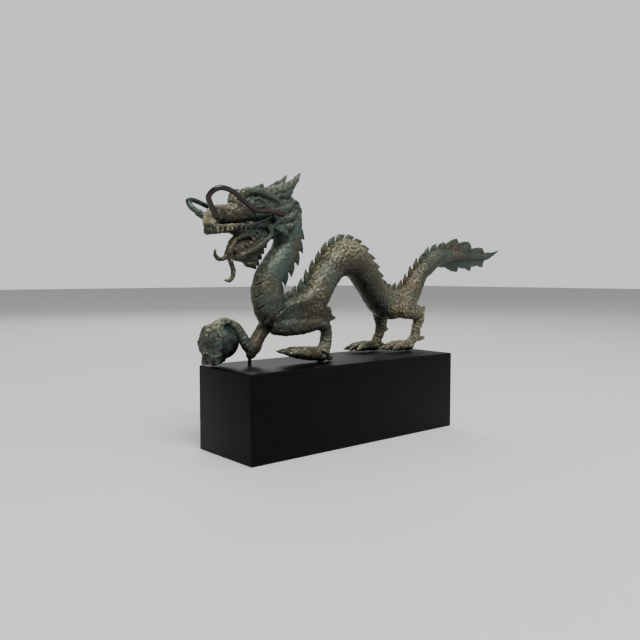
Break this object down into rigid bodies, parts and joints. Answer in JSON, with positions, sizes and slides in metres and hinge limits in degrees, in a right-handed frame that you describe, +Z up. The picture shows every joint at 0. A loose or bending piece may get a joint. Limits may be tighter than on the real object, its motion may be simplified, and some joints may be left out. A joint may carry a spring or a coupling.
{
  "type": "dragon sculpture",
  "caption": "Patinated cast dragon with an arched body, whisker rods and a pearl under its forepaw, on a black block plinth.",
  "frame": {"origin": "centre of the plinth's underside", "axes": "+Z up; the dragon faces -X with its tail towards +X; its left side is towards -Y"},
  "size_m": [0.3407, 0.066, 0.1981],
  "materials": {
    "black_wood": "satin black paint on wood",
    "patinated_bronze": "cast bronze with a green and brown patina",
    "brown_bronze": "smooth red-brown bronze rod",
    "green_bronze": "smooth green bronze rod",
    "dark_steel": "dark steel pin"
  },
  "bodies": {
    "root": {"plinth": "black_wood", "dragon": "patinated_bronze", "whisker_left": "brown_bronze", "whisker_right": "green_bronze", "mounting_pin": "dark_steel"}
  },
  "joints": []
}
